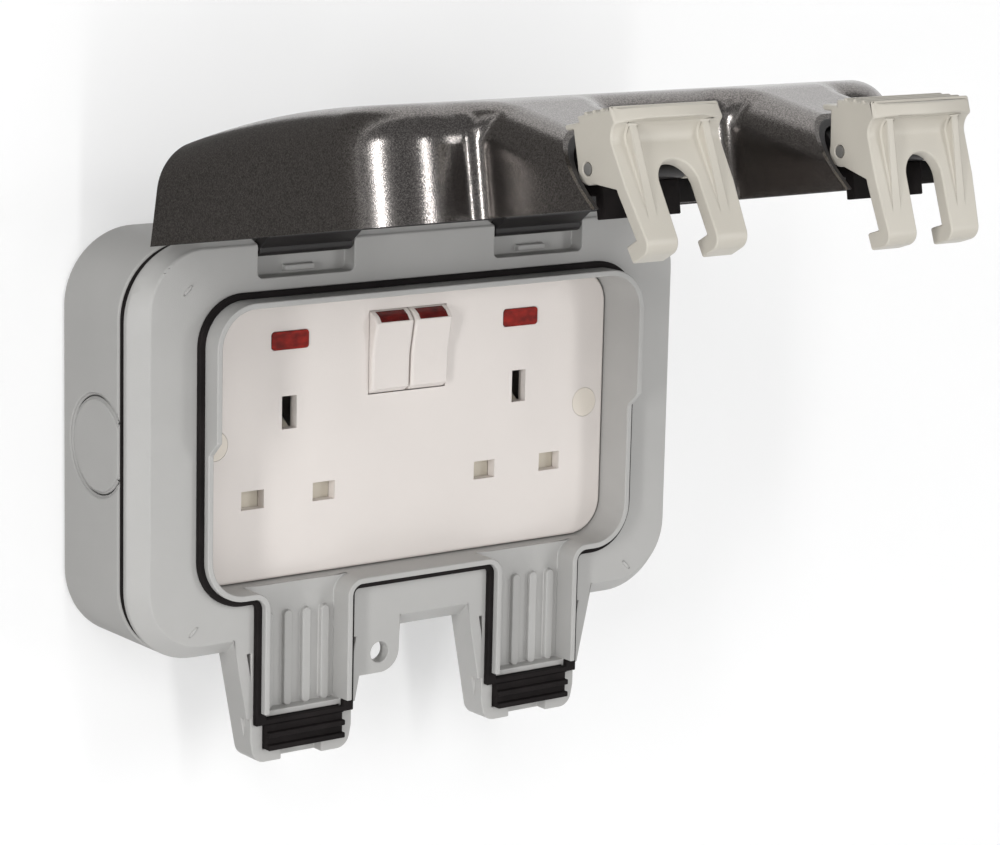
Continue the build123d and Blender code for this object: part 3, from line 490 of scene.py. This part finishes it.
@dataclass
class Housing(SubAssembly):
    """The wall box, the frame with its cable legs, and the seals. Edge sizes in mm."""

    box_edge: float = 0.8
    frame_edge: float = 0.35
    seal_edge: float = 0.3
    ticks: CornerTicks = CornerTicks()

    def pieces(self) -> list[Piece]:
        """Grey mouldings, black seals and the hinge pins."""
        return [
            Piece("mounting_box", BOX_GREY, self.box_edge),
            Piece("box_seal", SEAL_RUBBER),
            Piece("front_frame", BOX_GREY, self.frame_edge, self.ticks),
            Piece("hinge_pins", STEEL),
            Piece("lid_seal", SEAL_RUBBER, self.seal_edge),
        ]


@dataclass
class Outlets(SubAssembly):
    """The outlet face with its switches and windows, and the works behind it. Edge sizes in mm."""

    rocker_edge: float = 0.12

    def pieces(self) -> list[Piece]:
        """The pieces that both outlets share, then those of each side."""
        shared = [
            Piece("socket_plate", PLATE_WHITE),
            Piece("socket_base", BASE_WHITE),
            Piece("plate_screws", STEEL),
            Piece("rocker_pin", STEEL),
            Piece("neutral_bar", BRASS),
            Piece("earth_bar", BRASS),
            Piece("live_feed", BRASS),
            Piece("terminal_screws", STEEL),
        ]
        return shared + [piece for side in Side for piece in self.one_side(side)]

    def one_side(self, side: Side) -> list[Piece]:
        """The pieces of one outlet.

        Args:
            side: which of the two.

        Returns:
            Its pieces.
        """
        return [
            Piece(side.of("screw_cap"), CAP_IVORY),
            Piece(side.of("neon_lens"), NEON_RED),
            Piece(side.of("neon_lamp"), LAMP_GLASS),
            Piece(side.of("rocker"), PLATE_WHITE, self.rocker_edge),
            Piece(side.of("rocker_flash"), FLASH_RED),
            Piece(side.of("shutter"), SHUTTER_IVORY),
            Piece(side.of("shutter_spring"), STEEL),
            Piece(side.of("live_contact"), BRASS),
        ]


@dataclass
class Lid(SubAssembly):
    """The metal cover with its black liner, latch pins and cable pads. Edge sizes in mm."""

    liner_edge: float = 0.3
    pad_edge: float = 0.3

    def pieces(self) -> list[Piece]:
        """The cover and all that is fixed to it."""
        return [
            Piece("lid_skin", LID_METAL),
            Piece("lid_liner", LINER_BLACK, self.liner_edge),
            Piece("latch_pins", STEEL),
            Piece("lid_cable_pads", SEAL_RUBBER, self.pad_edge),
        ]


@dataclass
class Latches(SubAssembly):
    """The two hooked latches. Edge sizes in mm."""

    latch_edge: float = 0.5

    def pieces(self) -> list[Piece]:
        """One latch on each side."""
        return [Piece(side.of("latch"), LATCH_GREY, self.latch_edge) for side in Side]


@dataclass
class PhotoCamera:
    """The camera that took the photograph, solved from the standard spacing of the pin slots."""

    place: Point = (-514.2, -757.7, 179.2)
    yaw: float = 36.84
    pitch: float = 11.32
    roll: float = 1.34
    focal_pixels: float = 3393.5
    image_width: float = 1000.0
    sensor: float = 36.0
    nearest: float = 0.01
    farthest: float = 20.0

    def build(self) -> bpy.types.Object:
        """Makes the camera and looks through it.

        Returns:
            The camera object.
        """
        data = bpy.data.cameras.new("photo_camera")
        data.sensor_width = self.sensor
        data.sensor_fit = "HORIZONTAL"
        data.lens = self.focal_pixels * self.sensor / self.image_width
        data.clip_start = self.nearest
        data.clip_end = self.farthest
        camera = bpy.data.objects.new("photo_camera", data)
        bpy.context.collection.objects.link(camera)
        yaw, pitch, roll = (math.radians(a) for a in (self.yaw, self.pitch, self.roll))
        ahead = Vector((math.sin(yaw) * math.cos(pitch), math.cos(yaw) * math.cos(pitch), -math.sin(pitch)))
        level = Vector((math.cos(yaw), -math.sin(yaw), 0.0))
        right = Matrix.Rotation(-roll, 3, ahead) @ level
        up = right.cross(ahead)
        turn = Matrix((right, up, -ahead)).transposed()
        camera.matrix_world = Matrix.Translation(Vector(self.place) * MM) @ turn.to_4x4()
        bpy.context.scene.camera = camera
        log.info("camera in place")
        return camera


@dataclass(frozen=True)
class SoftLamp:
    """A lit panel that looks at the outlet. Sizes in metres, power in watts."""

    name: str
    place: Point
    width: float
    height: float
    power: float
    mirrored: bool = True

    def build(self) -> None:
        """Hangs the panel, upright and turned to the outlet."""
        data = bpy.data.lights.new(self.name, "AREA")
        data.shape = "RECTANGLE"
        data.size = self.width
        data.size_y = self.height
        data.energy = self.power
        lamp = bpy.data.objects.new(self.name, data)
        bpy.context.collection.objects.link(lamp)
        lamp.visible_glossy = self.mirrored
        way = -Vector(self.place)
        lamp.matrix_world = Matrix.Translation(self.place) @ way.to_track_quat("-Z", "Y").to_matrix().to_4x4()
        log.info("lamp: %s", self.name)


@dataclass
class Studio:
    """The pale wall and floor, a dark card, the soft lamps and the sky around them. Sizes in metres."""

    wall_half: float = 3.0
    wall_gap: float = 0.0004
    floor_height: float = -0.75
    pale: Colour = (0.97, 0.97, 0.97)
    shade: Colour = (0.6, 0.6, 0.6)
    glow: float = 0.37
    card_near: float = -0.05
    card_far: float = -1.2
    card_half: float = 0.6
    card_gap: float = -0.001
    card_tone: Colour = (0.17, 0.165, 0.16)
    sky_strength: float = 0.27
    lamps: tuple[SoftLamp, ...] = (
        SoftLamp("key", (-1.0, -1.3, 1.05), 0.6, 0.6, 4.5, mirrored=False),
        SoftLamp("front strip", (-0.12, -1.75, 0.25), 0.10, 1.3, 8.0),
        SoftLamp("left strip", (-1.55, -0.75, 0.2), 0.18, 1.3, 14.0),
        SoftLamp("fill", (1.0, -1.4, 0.35), 0.3, 0.9, 5.0),
        SoftLamp("right panel", (1.1, -1.45, 0.0), 1.0, 1.3, 1.6),
        SoftLamp("top", (0.0, -0.5, 1.6), 0.6, 0.6, 4.0, mirrored=False),
        SoftLamp("back", (0.65, 0.85, 0.10), 0.7, 0.7, 5.0),
    )

    def plane(self, name: str, corners: list[Point], material: bpy.types.Material) -> bpy.types.Object:
        """One flat stage surface through four corners.

        Args:
            name: the object's name.
            corners: four points in metres.
            material: its paint.

        Returns:
            The object.
        """
        mesh = bpy.data.meshes.new(name)
        mesh.from_pydata(corners, [], [(0, 1, 2, 3)])
        mesh.materials.append(material)
        obj = bpy.data.objects.new(name, mesh)
        bpy.context.collection.objects.link(obj)
        log.info("stage: %s", name)
        return obj

    def matt_paint(self, name: str, colour: Colour) -> bpy.types.Material:
        """A plain matt paint."""
        tree = NodeTree(name)
        tree.surface(tree.add("ShaderNodeBsdfDiffuse", Color=rgba(colour)))
        return tree.material

    def wall_paint(self) -> bpy.types.Material:
        """A pale wall seen only from its front, so that the object can also be seen from behind it.

        Returns:
            The material: matt paint and a glow for camera, glossy and transmission rays, and clear for the rest.
        """
        tree = NodeTree("pale wall")
        paint = tree.add("ShaderNodeAddShader")
        tree.join(tree.add("ShaderNodeBsdfDiffuse", Color=rgba(self.shade)), 0, paint, 0)
        tree.join(tree.add("ShaderNodeEmission", Strength=self.glow), 0, paint, 1)
        front = tree.math("SUBTRACT")
        front.inputs[0].default_value = 1.0
        tree.join(tree.add("ShaderNodeNewGeometry"), "Backfacing", front, 1)
        path = tree.add("ShaderNodeLightPath")
        direct, seen, shown = tree.math("MAXIMUM"), tree.math("MAXIMUM"), tree.math("MULTIPLY")
        tree.join(path, "Is Camera Ray", direct, 0)
        tree.join(path, "Is Glossy Ray", direct, 1)
        tree.join(direct, 0, seen, 0)
        tree.join(path, "Is Transmission Ray", seen, 1)
        tree.join(front, 0, shown, 0)
        tree.join(seen, 0, shown, 1)
        mix = tree.add("ShaderNodeMixShader")
        tree.join(shown, 0, mix, 0)
        tree.join(tree.add("ShaderNodeBsdfTransparent"), 0, mix, 1)
        tree.join(paint, 0, mix, 2)
        tree.surface(mix, "Shader")
        return tree.material

    def surroundings(self) -> None:
        """Stands the wall, lays the floor and hangs the card.

        The card stands left of the view and is seen in reflections alone, as a photographer darkens one side of
        metal.
        """
        w, g, f = self.wall_half, self.wall_gap, self.floor_height
        self.plane("wall", [(-w, g, f), (w, g, f), (w, g, w), (-w, g, w)], self.wall_paint())
        floor = [(-w, -w, f), (w, -w, f), (w, w, f), (-w, w, f)]
        self.plane("floor", floor, self.matt_paint("pale floor", self.pale))
        near, far, half, c = self.card_near, self.card_far, self.card_half, self.card_gap
        corners = [(far, c, -half), (near, c, -half), (near, c, half), (far, c, half)]
        card = self.plane("dark_card", corners, self.matt_paint("dark card", self.card_tone))
        card.visible_camera = card.visible_diffuse = card.visible_transmission = card.visible_shadow = False

    def sky(self) -> None:
        """An even white sky at a low level."""
        world = bpy.data.worlds.new("sky")
        world.use_nodes = True
        background = world.node_tree.nodes["Background"]
        background.inputs["Color"].default_value = rgba((1.0, 1.0, 1.0))
        background.inputs["Strength"].default_value = self.sky_strength
        bpy.context.scene.world = world

    def build(self) -> None:
        """Sets up the stage, the lamps and the sky."""
        self.surroundings()
        for lamp in self.lamps:
            lamp.build()
        self.sky()


def main() -> None:
    """Loads the frame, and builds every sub-assembly and the stage."""
    logging.basicConfig(level=logging.INFO, format="%(message)s")
    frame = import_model()
    bpy.context.scene.view_settings.view_transform = "Standard"
    for part in (Housing(), Outlets(), Lid(), Latches()):
        part.build(frame)
    PhotoCamera().build()
    Studio().build()


if __name__ == "__main__":
    main()
